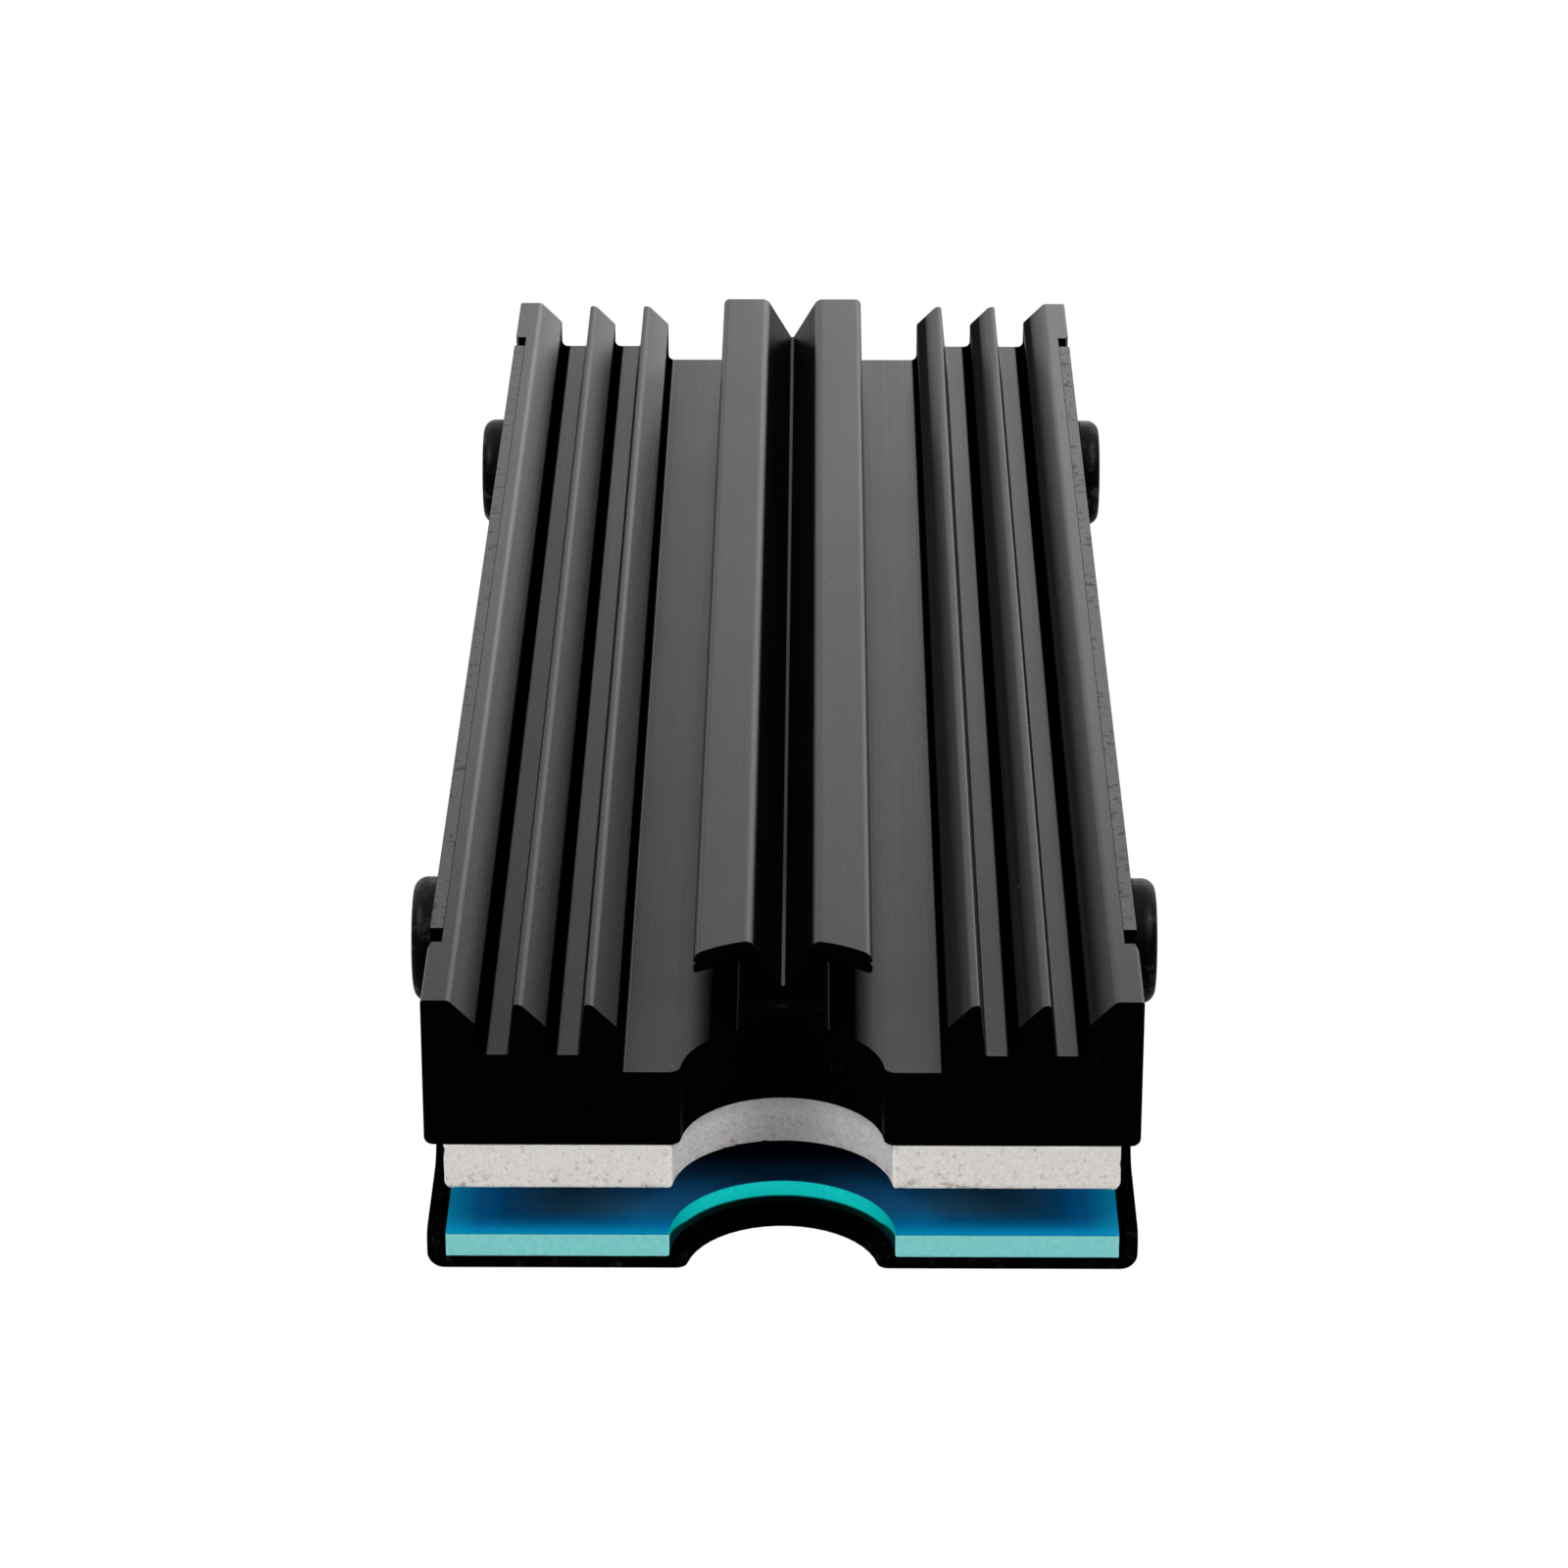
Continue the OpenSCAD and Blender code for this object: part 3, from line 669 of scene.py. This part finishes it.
def add_world():
    """A white surround for camera and gloss, and a soft level light on the object."""
    world = bpy.data.worlds.new("studio")
    bpy.context.scene.world = world
    world.use_nodes = True
    tree = world.node_tree
    path = tree.nodes.new("ShaderNodeLightPath")
    add_gloss = tree.nodes.new("ShaderNodeMath")
    add_glass = tree.nodes.new("ShaderNodeMath")
    limit = tree.nodes.new("ShaderNodeMath")
    limit.operation = "MINIMUM"
    limit.inputs[1].default_value = 1.0
    tree.links.new(path.outputs["Is Camera Ray"], add_gloss.inputs[0])
    tree.links.new(path.outputs["Is Glossy Ray"], add_gloss.inputs[1])
    tree.links.new(add_gloss.outputs[0], add_glass.inputs[0])
    tree.links.new(path.outputs["Is Transmission Ray"], add_glass.inputs[1])
    tree.links.new(add_glass.outputs[0], limit.inputs[0])
    strength = tree.nodes.new("ShaderNodeMapRange")
    strength.inputs["To Min"].default_value = 0.12
    strength.inputs["To Max"].default_value = 1.0
    tree.links.new(limit.outputs[0], strength.inputs["Value"])
    background = tree.nodes["Background"]
    background.inputs["Color"].default_value = (1.0, 1.0, 1.0, 1.0)
    tree.links.new(strength.outputs["Result"], background.inputs["Strength"])


def add_lamp(name, place, size, power):
    """A square soft lamp that looks at the object."""
    data = bpy.data.lights.new(name, "AREA")
    data.energy = power
    data.size = size
    lamp = bpy.data.objects.new(name, data)
    lamp.location = place
    lamp.rotation_euler = (-Vector(place)).to_track_quat("-Z", "Y").to_euler()
    lamp.visible_camera = False
    bpy.context.collection.objects.link(lamp)


def add_camera():
    """The photograph's camera: its aim, distance, pitch and lens."""
    level = math.cos(CAMERA_PITCH)
    view = Vector((math.sin(CAMERA_YAW) * level, math.cos(CAMERA_YAW) * level, -math.sin(CAMERA_PITCH)))
    data = bpy.data.cameras.new("camera")
    data.lens = CAMERA_LENS
    data.sensor_width = SENSOR_WIDTH
    data.sensor_fit = "HORIZONTAL"
    data.clip_start = 0.01
    data.clip_end = 20.0
    camera = bpy.data.objects.new("camera", data)
    camera.location = CAMERA_AIM - view * CAMERA_DISTANCE
    camera.rotation_euler = view.to_track_quat("-Z", "Y").to_euler()
    bpy.context.collection.objects.link(camera)
    bpy.context.scene.camera = camera


def build():
    dress_node("heat_sink", anodised_extrusion())
    dress_node("bottom_tray", anodised_sheet())
    screw = screw_material()
    for end in ("front", "rear"):
        for side in ("left", "right"):
            dress_node(end + "_" + side + "_screw", screw)
    add_pads()
    add_floor()
    add_world()
    for side in (-1, 1):
        add_lamp("side_softbox", (side * 0.5, -0.2, 0.42), 0.35, 4.6)
    add_lamp("back_softbox", (0.19, 0.87, 0.25), 0.5, 0.9)
    add_camera()
    bpy.context.scene.view_settings.view_transform = "Standard"


build()
